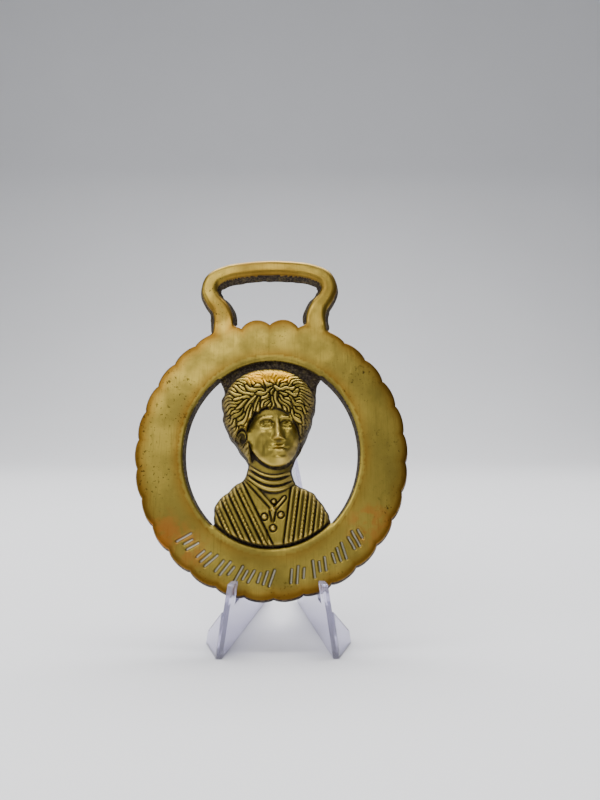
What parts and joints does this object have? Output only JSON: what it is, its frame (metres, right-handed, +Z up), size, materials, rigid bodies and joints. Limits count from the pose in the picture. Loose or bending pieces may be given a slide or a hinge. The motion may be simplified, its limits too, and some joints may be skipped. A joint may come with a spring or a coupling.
{
  "type": "horse brass",
  "caption": "Cast horse brass with a strap loop, scalloped ring and a bust in relief in its opening, leaning on a small clear easel.",
  "frame": {"origin": "on the surface that the easel stands on, under the middle of the whole thing's box", "axes": "+Z up, the front of the brass faces -Y, +X to the right when seen from the front"},
  "size_m": [0.071, 0.045, 0.0999],
  "materials": {
    "brass": "aged cast brass, hand finished, dark in the recesses",
    "clear_plastic": "clear moulded plastic, polished"
  },
  "bodies": {
    "root": {"horse_brass": "brass", "display_easel": "clear_plastic"}
  },
  "joints": []
}
